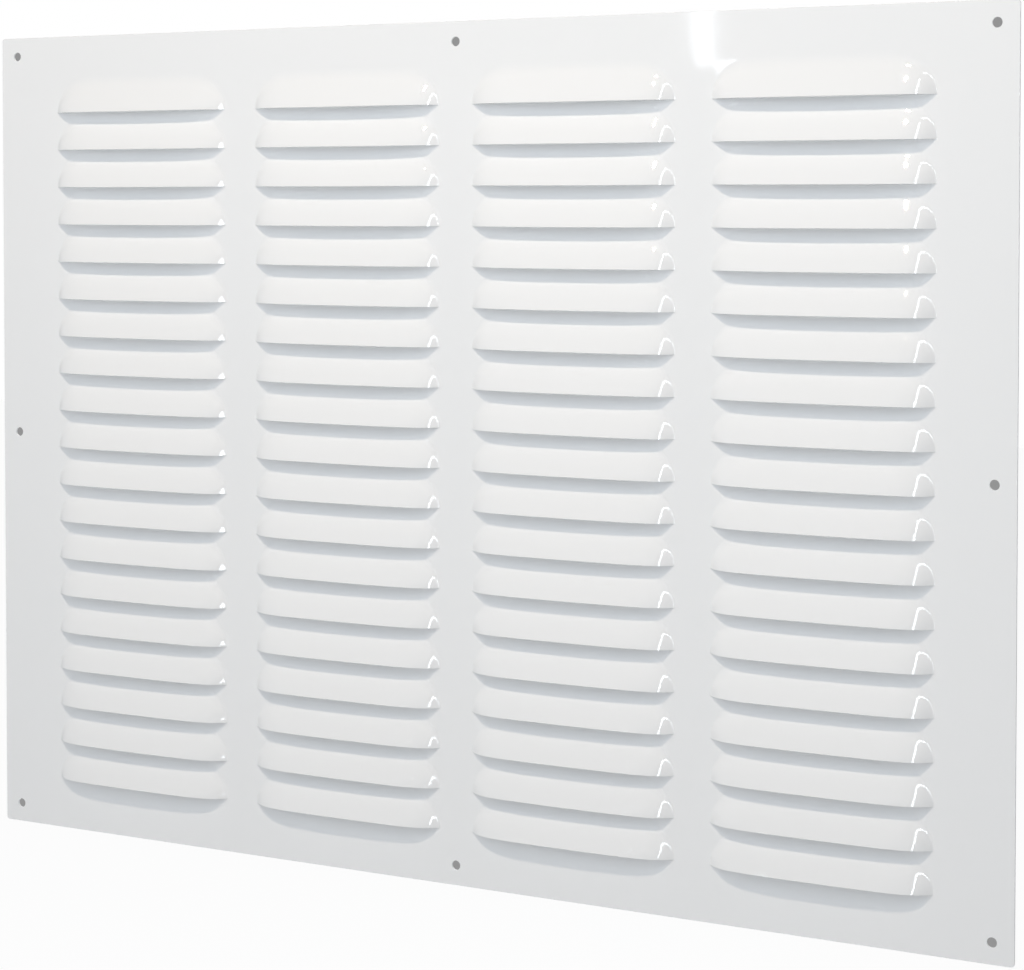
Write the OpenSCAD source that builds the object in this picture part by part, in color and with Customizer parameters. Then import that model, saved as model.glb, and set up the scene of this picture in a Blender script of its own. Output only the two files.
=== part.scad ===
// Ventilation grille: one steel sheet, lanced and pressed into columns of hooded louvres,
// with a screw hole in each corner and at the middle of each side. Units are millimetres.
// X runs along the louvres, Z is up, and the hoods stand out towards -Y and open downward.
// The flat back, which lies against the wall, is the plane Y = 0.

/* [Sheet] */
// Width of the sheet
panel_w = 600; // [560:5:900]
// Height of the sheet
panel_h = 450; // [440:5:900]
// Thickness of the sheet
sheet_t = 1; // [0.6:0.1:2]
// Radius of the sheet's four corners
corner_r = 2; // [0.5:0.5:8]

/* [Louvre layout] */
// Number of columns
columns = 4; // [1:1:4]
// Number of louvres in a column
rows = 19; // [1:1:19]
// Distance between the centres of two columns
column_pitch = 135; // [118:1:150]
// Distance between two slits of a column
row_pitch = 21; // [20.5:0.5:21.5]
// From the sheet's top edge down to the first slit
first_slit = 43; // [36:1:55]

/* [Louvre] */
// Length of a louvre along its slit
louvre_w = 116; // [60:1:130]
// Radius of a louvre's rounded ends, seen from the front
end_r = 20; // [20:0.5:30]
// Height from the slit to where the hood starts to leave the sheet
hood_h = 19.5; // [14:0.5:19.5]
// How far the lip stands out from the sheet's front
lip_depth = 8; // [6:0.5:10]
// Radius of the soft bend along the top of the hood
bend_r = 8; // [3:0.5:12]
// Slope of the hood's end walls against the sheet, in degrees
end_slope = 32; // [28:1:60]
// How far out the end walls rise before they ease off into the shoulders
wall_depth = 5.2; // [3:0.1:5.5]

/* [Screw holes] */
// Diameter of each hole
hole_d = 5; // [3:0.1:8]
// From the sheet's left and right edges to the holes
hole_inset_x = 11; // [9:0.5:25]
// From the sheet's top and bottom edges to the holes
hole_inset_z = 10.5; // [9:0.5:20]

/* [Hidden] */
$fn = 64;
// The bend dips this far into the sheet, so that its surface crosses the sheet's and doesn't only touch it
bite = 0.005;
// Cutters and limits run this far past what they meet
spare = 1;
// The shoulders, which rise to the lip's full depth, stop at this radius and not at a sharp point
shoulder_tip_r = 0.5;
hole_x = panel_w / 2 - hole_inset_x;
hole_y = panel_h / 2 - hole_inset_z;
first_slit_y = panel_h / 2 - first_slit;
end_x = louvre_w / 2 - end_r;
shoulder_r = end_r - wall_depth / tan(end_slope);
lip_z = sheet_t + lip_depth;
bend_z = sheet_t + bend_r - bite;
// The flat face runs from the lip up to a circle just inside the bend, and touches that circle
touch_r = bend_r - bite;
face_slope = asin(touch_r / norm([hood_h, bend_z - lip_z])) - atan2(bend_z - lip_z, hood_h);

// The panel is drawn lying on its back with its top towards +Y, then stood up.
// Each hood is hollowed from behind by its own form, moved back by one sheet thickness.
module louvre_panel() {
    color("white")
        rotate([90, 0, 0])
        difference() {
            union() {
                flat_sheet();
                hoods();
            }
            translate([0, 0, -sheet_t]) hoods();
            screw_holes();
        }
}

module flat_sheet() {
    corner_x = panel_w / 2 - corner_r;
    corner_y = panel_h / 2 - corner_r;
    linear_extrude(sheet_t)
        union() {
            square([panel_w, 2 * corner_y], center = true);
            square([2 * corner_x, panel_h], center = true);
            for (x = [-corner_x, corner_x], y = [-corner_y, corner_y])
                translate([x, y]) circle(corner_r);
        }
}

module hoods() {
    for (column = [0 : columns - 1], row = [0 : rows - 1])
        translate([(column - (columns - 1) / 2) * column_pitch, first_slit_y - row * row_pitch, 0])
            hood();
}

// One hood, with its slit along the X axis: the pressed section, cut off by the rounded ends
module hood() {
    intersection() {
        translate([-louvre_w / 2, 0, 0])
            rotate([90, 0, 90])
            linear_extrude(louvre_w)
            hood_section();
        hood_outline();
    }
}

// The hood seen along the slit: the open lip at 0, the flat face, the soft bend, the sheet's front
module hood_section() {
    difference() {
        polygon([
            [0, sheet_t / 2],
            [hood_h + bend_r, sheet_t / 2],
            [hood_h + bend_r, sheet_t],
            [hood_h, sheet_t],
            [hood_h - touch_r * sin(face_slope), bend_z - touch_r * cos(face_slope)],
            [0, lip_z]
        ]);
        translate([hood_h, bend_z]) circle(bend_r);
    }
}

// The hood seen from the front: straight in the middle, with a round wall and shoulder at each end
module hood_outline() {
    union() {
        translate([-end_x, -spare, 0])
            cube([2 * end_x, end_r + spare, lip_z + spare]);
        for (side = [-1, 1])
            translate([side * end_x, 0, 0]) {
                cylinder(h = sheet_t, r = end_r);
                translate([0, 0, sheet_t])
                    cylinder(h = wall_depth, r1 = end_r, r2 = shoulder_r);
                translate([0, 0, sheet_t + wall_depth])
                    cylinder(h = lip_depth - wall_depth, r1 = shoulder_r, r2 = shoulder_tip_r);
            }
    }
}

// One in each corner and one at the middle of each side, but none at the panel's centre
module screw_holes() {
    for (x = [-hole_x, 0, hole_x], y = [-hole_y, 0, hole_y])
        if (x != 0 || y != 0)
            translate([x, y, -spare])
                cylinder(h = sheet_t + 2 * spare, d = hole_d);
}

louvre_panel();
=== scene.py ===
import math
import bmesh
import bpy
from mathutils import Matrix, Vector


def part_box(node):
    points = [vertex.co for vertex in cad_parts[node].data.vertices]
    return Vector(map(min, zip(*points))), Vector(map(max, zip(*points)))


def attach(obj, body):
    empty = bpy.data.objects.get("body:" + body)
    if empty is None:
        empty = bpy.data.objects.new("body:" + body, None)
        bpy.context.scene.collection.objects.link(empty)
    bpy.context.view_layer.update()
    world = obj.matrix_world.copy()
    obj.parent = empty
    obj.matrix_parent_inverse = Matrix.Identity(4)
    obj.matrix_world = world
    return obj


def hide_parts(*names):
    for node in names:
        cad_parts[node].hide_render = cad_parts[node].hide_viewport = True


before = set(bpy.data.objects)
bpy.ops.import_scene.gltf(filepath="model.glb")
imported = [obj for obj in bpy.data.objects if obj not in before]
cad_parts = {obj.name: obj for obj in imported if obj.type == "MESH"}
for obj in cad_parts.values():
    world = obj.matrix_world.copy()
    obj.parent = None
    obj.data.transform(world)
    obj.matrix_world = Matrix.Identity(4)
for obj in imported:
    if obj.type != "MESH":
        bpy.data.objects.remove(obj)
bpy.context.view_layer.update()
panelLow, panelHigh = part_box("louvre_panel")
mm = 0.001
samePlace = 0.001 * mm  # points this close together are one point
weldGap = 0.002 * mm  # doubles this close are merged
sameLine = 0.01 * mm  # a point this close to a line stands on it
quarterTurn = math.pi / 2
print("frame loaded")


def clearSelection():
    if bpy.context.object and bpy.context.object.mode != "OBJECT":
        bpy.ops.object.mode_set(mode="OBJECT")
    bpy.ops.object.select_all(action="DESELECT")


def makeActive(thing):
    clearSelection()
    thing.select_set(True)
    bpy.context.view_layer.objects.active = thing


def applyModifier(thing, kind, **settings):
    makeActive(thing)
    bpy.ops.object.modifier_add(type=kind)
    modifier = thing.modifiers[-1]
    for name, value in settings.items():
        setattr(modifier, name, value)
    bpy.ops.object.modifier_apply(modifier=modifier.name)


def editPoints():  # edit mode on the active piece, working on its points
    bpy.ops.object.mode_set(mode="EDIT")
    bpy.ops.mesh.select_mode(type="VERT")


def pickPoints(thing, test):  # in edit mode, selects the points whose place passes the test
    mesh = bmesh.from_edit_mesh(thing.data)
    for point in mesh.verts:
        point.select = test(point.co)
    mesh.select_flush_mode()
    bmesh.update_edit_mesh(thing.data)


def extrudeBy(step):
    bpy.ops.mesh.extrude_region_move(TRANSFORM_OT_translate={"value": step})


def weldDoubles():
    bpy.ops.mesh.select_all(action="SELECT")
    bpy.ops.mesh.remove_doubles(threshold=weldGap)


# The camera stands to the right of the panel and a little above its middle, with a long lens
cameraSet = dict(
    place=(0.6581, -1.1404, 0.1306),
    turn=(88.163, 0.0, 28.739),  # degrees: nearly level, turned left towards the panel
    lens=89.29,
    sensor=36.0,
    shift=-0.195,  # the lens is shifted down more than it is tilted, so the sides look upright
)
bpy.ops.object.camera_add(location=cameraSet["place"])
camera = bpy.context.object
camera.rotation_euler = [math.radians(angle) for angle in cameraSet["turn"]]
camera.data.lens = cameraSet["lens"]
camera.data.sensor_width = cameraSet["sensor"]
camera.data.shift_y = cameraSet["shift"]
bpy.context.scene.camera = camera
print("camera placed")

# The pressed sheet, in millimetres and degrees
panelSet = dict(
    thickness=1.0,
    columns=4,
    rows=19,
    columnPitch=135.0,
    rowPitch=21.0,
    firstSlit=43.0,  # from the top edge down to the first slit
    slitLength=116.0,
    hoodHeight=19.5,
    cornerRadius=20.0,  # of a hood's rounded upper corners
    lipDepth=8.0,
    lipRise=10.2,  # a smaller number brings the lip out more quickly from its tips
    tipFold=0.55,  # the soft start of the end wall at the tip
    bendStart=0.8,  # where the flat face turns into the soft bend, as a share of the height
    endSoftness=0.75,  # how much lower than that the bend starts at the slit's tips
    endCrown=1.2,  # how much the face rounds off at the tips; in its middle it is flat
    endLength=11.0,  # both fade out over about this distance from the tips
    stations=18,  # sections from the middle of a hood to its tip
    crowding=2.2,  # a larger number crowds the sections towards the tip
    facePoints=12,  # steps up a hood's section
    sheetCorner=2.0,
    cornerSegments=6,
    edgeRound=0.3,  # the paint rounds the sheet's outer edges
    edgeSegments=3,
    sharpAngle=60.0,  # only edges turned more than this are rounded
    smoothAngle=40.0,  # an edge turned less than this is shaded smooth
    holeRadius=2.5,
    holeInsetX=11.0,
    holeInsetZ=10.5,
    holeSides=32,
    punchDepth=20.0,
)


# How far the lip stands out: it leaves the slit's tip quickly and then levels off
def lipDepthAt(fromTip, sizes):
    half = sizes["slitLength"] / 2
    rise = sizes["lipRise"]
    fold = sizes["tipFold"]
    along = fromTip - fold * (1 - math.exp(-fromTip / fold))
    return sizes["lipDepth"] * along / math.hypot(along, rise) * math.hypot(half, rise) / half


# How high the hood is: it is full in its middle and falls in a quarter circle to the tip
def hoodHeightAt(fromTip, sizes):
    radius = sizes["cornerRadius"]
    if fromTip >= radius:
        return sizes["hoodHeight"]
    return sizes["hoodHeight"] * math.sqrt(radius ** 2 - (radius - fromTip) ** 2) / radius


# A point of the hood at a distance from the tip, where up runs from 0 at the lip to 1 at the sheet
def pressedPoint(fromTip, up, sizes):
    endShare = math.exp(-fromTip / sizes["endLength"])
    start = sizes["bendStart"] - sizes["endSoftness"] * endShare
    slope = 2 / (1 + start)
    along = up ** (1 + sizes["endCrown"] * endShare)
    if along <= start:  # on the face
        share = 1 - slope * along
    else:  # on the bend, which runs out flush with the sheet
        share = slope * (1 - along) ** 2 / 2 / (1 - start)
    depth = share * lipDepthAt(fromTip, sizes)
    return Vector((0, -depth, up * hoodHeightAt(fromTip, sizes))) * mm


# The section at a louvre's middle is drawn, then extruded to its tip and on to the tile's edge
def addHalfTile(sizes, frontY):
    half = sizes["slitLength"] / 2
    steps = sizes["facePoints"]
    stations = sizes["stations"]
    ups = [i / steps for i in range(steps + 1)]
    section = [pressedPoint(half, up, sizes) for up in ups]
    section.append(Vector((0, 0, sizes["rowPitch"])) * mm)
    bpy.ops.mesh.primitive_plane_add(size=mm)
    tile = bpy.context.object
    editPoints()
    bpy.ops.mesh.select_all(action="SELECT")
    bpy.ops.mesh.merge(type="CENTER")
    bpy.ops.transform.translate(value=Vector((0, frontY, 0)) + section[0])
    for last, point in zip(section, section[1:]):
        extrudeBy(point - last)
    bpy.ops.mesh.select_all(action="SELECT")
    fromTips = [half * (1 - i / stations) ** sizes["crowding"] for i in range(stations + 1)]
    for last, fromTip in zip(fromTips, fromTips[1:]):
        extrudeBy(((last - fromTip) * mm, 0, 0))
        edge = Vector(((half - fromTip) * mm, frontY, 0))
        for up in ups:
            place = edge + pressedPoint(last, up, sizes)
            pickPoints(tile, lambda p: (p - place).length < samePlace)
            bpy.ops.transform.translate(value=edge + pressedPoint(fromTip, up, sizes) - place)
        pickPoints(tile, lambda p: p.x > edge.x - samePlace)
    extrudeBy(((sizes["columnPitch"] / 2 - half) * mm, 0, 0))
    weldDoubles()
    bpy.ops.object.mode_set(mode="OBJECT")
    return tile


def addPanel(sizes):
    panel = addHalfTile(sizes, panelHigh.y - sizes["thickness"] * mm)
    print("half a louvre shaped", len(panel.data.polygons))
    applyModifier(panel, "MIRROR", merge_threshold=weldGap)
    for count, step in ((sizes["columns"], (sizes["columnPitch"] * mm, 0, 0)),
                        (sizes["rows"], (0, 0, -sizes["rowPitch"] * mm))):
        applyModifier(panel, "ARRAY", count=count, use_relative_offset=False,
                      use_constant_offset=True, constant_offset_displace=step,
                      use_merge_vertices=True, merge_threshold=weldGap)
    firstX = -(sizes["columns"] - 1) / 2 * sizes["columnPitch"] * mm
    panel.location = (firstX, 0, panelHigh.z - sizes["firstSlit"] * mm)
    makeActive(panel)
    bpy.ops.object.transform_apply(location=True)
    print("louvres laid out", len(panel.data.polygons))
    addMargins(panel, sizes)
    print("margins added", len(panel.data.polygons))
    return panel


# The plain rim: the field of louvres is extruded to the sheet's four edges, its top edge first
# copied to its foot, where the last row of slits has left it open
def addMargins(panel, sizes):
    fieldTop = max(v.co.z for v in panel.data.vertices)
    fieldRight = max(v.co.x for v in panel.data.vertices)
    fieldHeight = sizes["rows"] * sizes["rowPitch"] * mm
    editPoints()
    pickPoints(panel, lambda p: p.z > fieldTop - sameLine)
    bpy.ops.mesh.duplicate_move(TRANSFORM_OT_translate={"value": (0, 0, -fieldHeight)})
    extrudeBy((0, 0, panelLow.z - fieldTop + fieldHeight))
    pickPoints(panel, lambda p: p.z > fieldTop - sameLine)
    extrudeBy((0, 0, panelHigh.z - fieldTop))
    weldDoubles()
    for side in (-1, 1):
        pickPoints(panel, lambda p: side * p.x > fieldRight - sameLine)
        extrudeBy((side * (panelHigh.x - fieldRight), 0, 0))
    pickPoints(panel, lambda p: (abs(p.x) > panelHigh.x - sameLine
                                 and abs(p.z) > panelHigh.z - sameLine))
    bpy.ops.mesh.bevel(offset=sizes["sheetCorner"] * mm, segments=sizes["cornerSegments"],
                       affect="VERTICES")
    bpy.ops.mesh.select_all(action="SELECT")
    bpy.ops.mesh.normals_make_consistent(inside=False)
    bpy.ops.object.mode_set(mode="OBJECT")
    if panel.data.polygons[0].normal.y > 0:  # the front of the open sheet has to look forward
        bpy.ops.object.mode_set(mode="EDIT")
        bpy.ops.mesh.flip_normals()
        bpy.ops.object.mode_set(mode="OBJECT")


def cutHoles(panel, sizes):
    holeX = panelHigh.x - sizes["holeInsetX"] * mm
    holeZ = panelHigh.z - sizes["holeInsetZ"] * mm
    clearSelection()
    punches = []
    for x in (-holeX, 0, holeX):
        for z in (-holeZ, 0, holeZ):
            if x or z:
                bpy.ops.mesh.primitive_cylinder_add(
                    vertices=sizes["holeSides"], radius=sizes["holeRadius"] * mm,
                    depth=sizes["punchDepth"] * mm, location=(x, 0, z),
                    rotation=(quarterTurn, 0, 0))
                punches.append(bpy.context.object)
    for punch in punches:
        punch.select_set(True)
    bpy.ops.object.join()
    punch = bpy.context.object
    applyModifier(panel, "BOOLEAN", operation="DIFFERENCE", object=punch, solver="EXACT")
    makeActive(punch)
    bpy.ops.object.delete()


def roundEdges(panel, sizes):
    makeActive(panel)
    editPoints()
    corner = sizes["sheetCorner"] * mm

    def onRim(p):  # on a straight edge of the sheet or on a corner's arc
        pastX = abs(p.x) - (panelHigh.x - corner)
        pastZ = abs(p.z) - (panelHigh.z - corner)
        if pastX > 0 and pastZ > 0:
            return math.hypot(pastX, pastZ) > corner - sameLine
        return max(pastX, pastZ) > corner - sameLine

    pickPoints(panel, onRim)
    bpy.ops.mesh.select_mode(type="EDGE")
    mesh = bmesh.from_edit_mesh(panel.data)
    for edge in mesh.edges:
        edge.select = edge.select and edge.calc_face_angle(0) > math.radians(sizes["sharpAngle"])
    bmesh.update_edit_mesh(panel.data)
    bpy.ops.mesh.bevel(offset=sizes["edgeRound"] * mm, segments=sizes["edgeSegments"],
                       affect="EDGES")
    bpy.ops.object.mode_set(mode="OBJECT")


panel = addPanel(panelSet)
applyModifier(panel, "SOLIDIFY", thickness=panelSet["thickness"] * mm, offset=-1,
              use_even_offset=True)
print("sheet given its thickness", len(panel.data.polygons))
cutHoles(panel, panelSet)
print("holes cut", len(panel.data.polygons))
roundEdges(panel, panelSet)
print("edges rounded", len(panel.data.polygons))
makeActive(panel)
bpy.ops.object.shade_smooth_by_angle(angle=math.radians(panelSet["smoothAngle"]))
applyModifier(panel, "WEIGHTED_NORMAL", keep_sharp=True)
panel.name = "louvrePanel"
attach(panel, "root")
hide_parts("louvre_panel")


def linear(hexColour):  # the curve that turns an sRGB colour to linear light
    parts = [int(hexColour[i:i + 2], 16) / 255 for i in (1, 3, 5)]
    return [c / 12.92 if c <= 0.04045 else ((c + 0.055) / 1.055) ** 2.4 for c in parts] + [1.0]


def addNode(tree, kind, settings=(), links=()):
    node = tree.nodes.new(kind)
    for name, value in dict(settings).items():
        if isinstance(name, int) or name in node.inputs:
            node.inputs[name].default_value = value
        else:
            setattr(node, name, value)
    for socket, source in dict(links).items():
        tree.links.new(source, node.inputs[socket])
    return node


def newMaterial(name):
    material = bpy.data.materials.new(name)
    material.use_nodes = True
    material.node_tree.nodes.clear()
    return material, material.node_tree


# White baked enamel on steel: sprayed and stoved, so it is smooth, glossy and a little wavy
enamelSet = dict(
    colour="#F1F1F0",
    roughness=0.05,
    peelSize=3.0,  # mm, the fine orange peel of the sprayed coat
    peelDepth=0.004,  # mm
    waveSize=80.0,  # mm, the sheet's slow waves between its louvres
    waveDepth=0.5,  # mm
)


def bakedEnamel(look):
    material, tree = newMaterial("whiteBakedEnamel")
    place = addNode(tree, "ShaderNodeTexCoord").outputs["Object"]
    wave = addNode(tree, "ShaderNodeTexNoise",
                   {"Scale": 1 / (look["waveSize"] * mm), "Detail": 0.0}, {"Vector": place})
    waves = addNode(tree, "ShaderNodeBump",
                    {"Strength": 1.0, "Distance": look["waveDepth"] * mm},
                    {"Height": wave.outputs["Fac"]})
    peel = addNode(tree, "ShaderNodeTexNoise",
                   {"Scale": 1 / (look["peelSize"] * mm), "Detail": 1.0}, {"Vector": place})
    peels = addNode(tree, "ShaderNodeBump",
                    {"Strength": 1.0, "Distance": look["peelDepth"] * mm},
                    {"Height": peel.outputs["Fac"], "Normal": waves.outputs["Normal"]})
    shader = addNode(tree, "ShaderNodeBsdfPrincipled",
                     {"Base Color": linear(look["colour"]), "Roughness": look["roughness"]},
                     {"Normal": peels.outputs["Normal"]})
    addNode(tree, "ShaderNodeOutputMaterial", {}, {"Surface": shader.outputs["BSDF"]})
    return material


panel.data.materials.clear()
panel.data.materials.append(bakedEnamel(enamelSet))
print("enamel applied")

# The floor lies well below the panel, which hangs by its holes
stageSet = dict(
    floorDrop=0.45,  # m, below the panel's lower edge
    floorSize=14.0,  # m
    floorColour="#FAFAFA",
    shownWhite=0.96,  # how white the floor looks; the rest of it takes the panel's shadow
)


def seenShare(tree):  # 1 on what the camera sees, straight, mirrored or through glass
    rays = addNode(tree, "ShaderNodeLightPath")
    glossy = addNode(tree, "ShaderNodeMath", {"operation": "MAXIMUM"},
                     {0: rays.outputs["Is Camera Ray"], 1: rays.outputs["Is Glossy Ray"]})
    seen = addNode(tree, "ShaderNodeMath", {"operation": "MAXIMUM"},
                   {0: glossy.outputs[0], 1: rays.outputs["Is Transmission Ray"]})
    return seen.outputs[0]


def addFloor(look):
    clearSelection()
    bpy.ops.mesh.primitive_plane_add(size=look["floorSize"],
                                     location=(0, 0, panelLow.z - look["floorDrop"]))
    floor = bpy.context.object
    floor.name = "floor"
    material, tree = newMaterial("paleFloor")
    paint = addNode(tree, "ShaderNodeBsdfDiffuse", {"Color": linear(look["floorColour"])})
    glow = addNode(tree, "ShaderNodeEmission", {"Color": linear("#FFFFFF"), "Strength": 1.0})
    seen = addNode(tree, "ShaderNodeMath", {"operation": "MULTIPLY", 1: look["shownWhite"]},
                   {0: seenShare(tree)})
    mixed = addNode(tree, "ShaderNodeMixShader", {},
                    {0: seen.outputs[0], 1: paint.outputs[0], 2: glow.outputs[0]})
    addNode(tree, "ShaderNodeOutputMaterial", {}, {"Surface": mixed.outputs[0]})
    floor.data.materials.append(material)


addFloor(stageSet)

# Painted shade for the screw holes, which look grey: a grey sheet that glows its own colour stands
# just behind the
# # sheet and inside its outline, in place of the dark behind the holes; only the camera sees it,
# and only from the front
shadeCardSet = dict(
    inset=4.0,  # mm, from the sheet's edges
    behind=1.5,  # mm
    # the grey of the painted shade seen through the holes
    colour="#949494",
)


def addShadeCard(look):
    clearSelection()
    bpy.ops.mesh.primitive_plane_add(size=1, rotation=(quarterTurn, 0, 0),
                                     location=(0, panelHigh.y + look["behind"] * mm, 0))
    shadeCard = bpy.context.object
    shadeCard.name = "paintedShadeCard"
    inset = look["inset"] * mm
    shadeCard.scale = (2 * (panelHigh.x - inset), 2 * (panelHigh.z - inset), 1)
    bpy.ops.object.transform_apply(location=True, rotation=True, scale=True)
    material, tree = newMaterial("paintedShadeGlow")
    rays = addNode(tree, "ShaderNodeLightPath")
    side = addNode(tree, "ShaderNodeNewGeometry")
    front = addNode(tree, "ShaderNodeMath", {"operation": "SUBTRACT"},
                    {0: rays.outputs["Is Camera Ray"], 1: side.outputs["Backfacing"]})
    clear = addNode(tree, "ShaderNodeBsdfTransparent")
    # a glow of that grey: painted shade where the holes show only the dark behind the sheet
    grey = addNode(tree, "ShaderNodeEmission",
                   {"Color": linear(look["colour"]), "Strength": 1.0})
    mixed = addNode(tree, "ShaderNodeMixShader", {},
                    {0: front.outputs[0], 1: clear.outputs[0], 2: grey.outputs[0]})
    addNode(tree, "ShaderNodeOutputMaterial", {}, {"Surface": mixed.outputs[0]})
    shadeCard.data.materials.append(material)


addShadeCard(shadeCardSet)
print("floor and card placed")

# Places and sizes are in metres and powers in watts
lightSet = dict(
    sky=0.2,
    skyColour="#F0F7FF",
    coolColour="#F0F7FF",
    keyPlace=(0.02, -1.0, 1.28),  # small and high: it gives the hoods' ends their round glints
    keySize=0.1,
    keyPower=9.0,
    keyColour="#FFF0DE",
    leftFillPlace=(-1.2, -1.1, 0.3),
    leftFillSize=0.8,
    leftFillPower=4.5,
    topFillPlace=(0.0, -0.6, 0.42),
    topFillSize=0.3,
    topFillPower=0.57,
    backFillPlace=(-0.5, 1.0, 1.3),  # behind the sheet, so that its hollows read from there
    backFillSize=0.5,
    backFillPower=14.0,
    rightStripPlace=(0.605, -1.085, 0.6),  # tall: it draws a bright hoop on each right end
    rightStripWidth=0.1,
    rightStripHeight=1.6,
    rightStripPower=6.2,
    leftStripPlace=(-0.338, -1.05, 0.295),  # short: it mirrors as a bright patch near the top edge
    leftStripWidth=0.014,
    leftStripHeight=0.07,
    leftStripPower=0.0245,
)


def addLamp(name, place, power, colour, width, height=None, target=(0, 0, 0)):
    clearSelection()
    bpy.ops.object.light_add(type="AREA", location=place)
    lamp = bpy.context.object
    lamp.name = name
    lamp.data.energy = power
    lamp.data.color = linear(colour)[:3]
    lamp.data.size = width
    lamp.data.shape = "DISK"
    if height:
        lamp.data.shape = "RECTANGLE"
        lamp.data.size_y = height
    aim = Vector(target) - lamp.location
    lamp.rotation_euler = aim.to_track_quat("-Z", "Y").to_euler()
    lamp.visible_camera = False
    return lamp


def addWorld(sky, skyColour):
    world = bpy.context.scene.world or bpy.data.worlds.new("studio")
    bpy.context.scene.world = world
    world.use_nodes = True
    tree = world.node_tree
    tree.nodes.clear()
    light = addNode(tree, "ShaderNodeBackground", {"Color": linear(skyColour), "Strength": sky})
    shown = addNode(tree, "ShaderNodeBackground", {"Color": linear("#FFFFFF"), "Strength": 1.0})
    mixed = addNode(tree, "ShaderNodeMixShader", {},
                    {0: seenShare(tree), 1: light.outputs[0], 2: shown.outputs[0]})
    addNode(tree, "ShaderNodeOutputWorld", {}, {"Surface": mixed.outputs[0]})


addWorld(lightSet["sky"], lightSet["skyColour"])
addLamp("keyLamp", lightSet["keyPlace"], lightSet["keyPower"], lightSet["keyColour"],
        lightSet["keySize"])
for name in ("leftFill", "topFill", "backFill"):  # they soften, and don't mirror in the enamel
    fill = addLamp(name, lightSet[name + "Place"], lightSet[name + "Power"],
                   lightSet["coolColour"], lightSet[name + "Size"])
    fill.visible_glossy = False
for name in ("rightStrip", "leftStrip"):  # upright strips, level with what they light
    place = lightSet[name + "Place"]
    addLamp(name, place, lightSet[name + "Power"], lightSet["coolColour"],
            lightSet[name + "Width"], lightSet[name + "Height"], target=(0, 0, place[2]))
bpy.context.scene.view_settings.view_transform = "Standard"
print("lights placed")
